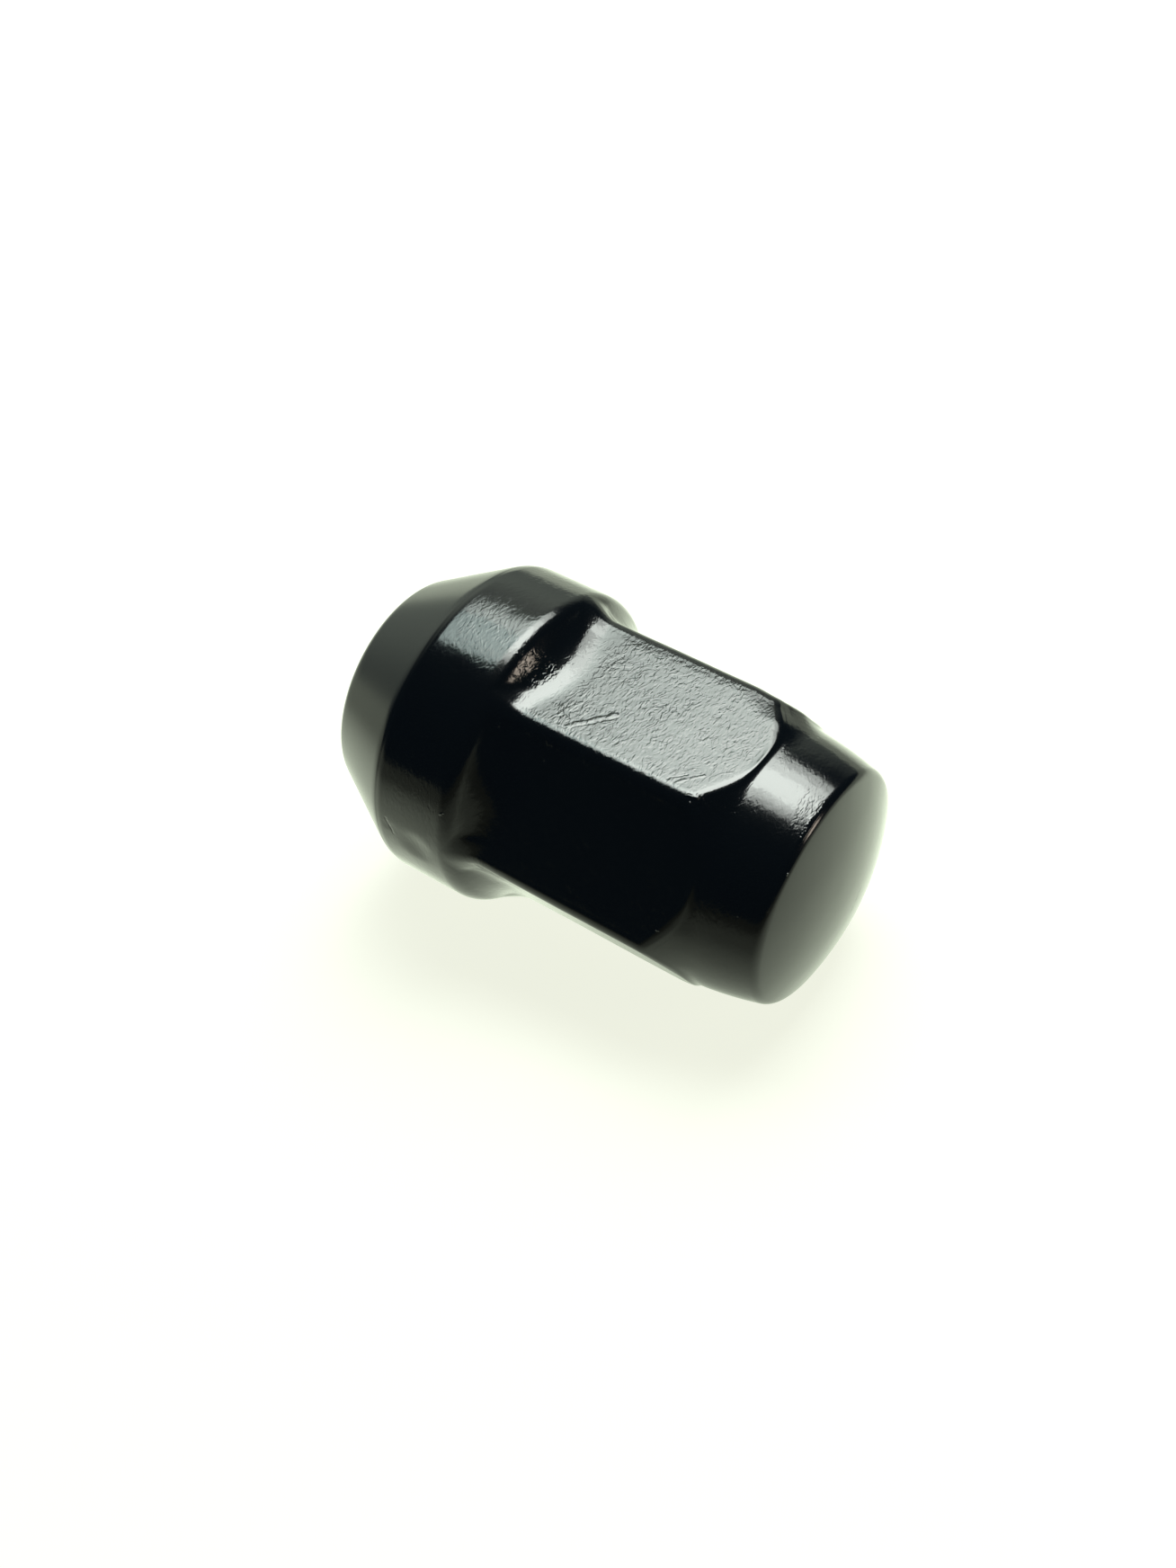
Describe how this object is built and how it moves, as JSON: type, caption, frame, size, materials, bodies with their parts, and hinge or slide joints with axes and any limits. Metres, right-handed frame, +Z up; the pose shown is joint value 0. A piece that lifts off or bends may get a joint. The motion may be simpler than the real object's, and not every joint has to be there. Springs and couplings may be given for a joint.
{
  "type": "hub nut",
  "caption": "Closed wheel nut forged in one piece: conical seat, bulge collar, scooped hexagon, tapered crown with a domed end, blind threaded bore.",
  "frame": {"origin": "on the surface that the nut lies on, below the middle of its bounding box", "axes": "+X along the nut from its open mouth to its domed end, level with the surface; the nut's own axis leans 6.95 degrees below +X, from the collar down to the crown; +Z up"},
  "size_m": [0.0373, 0.0234, 0.0239],
  "materials": {
    "black_coat": "gloss black coat over forged steel"
  },
  "bodies": {
    "root": {"nut_body": "black_coat"}
  },
  "joints": []
}
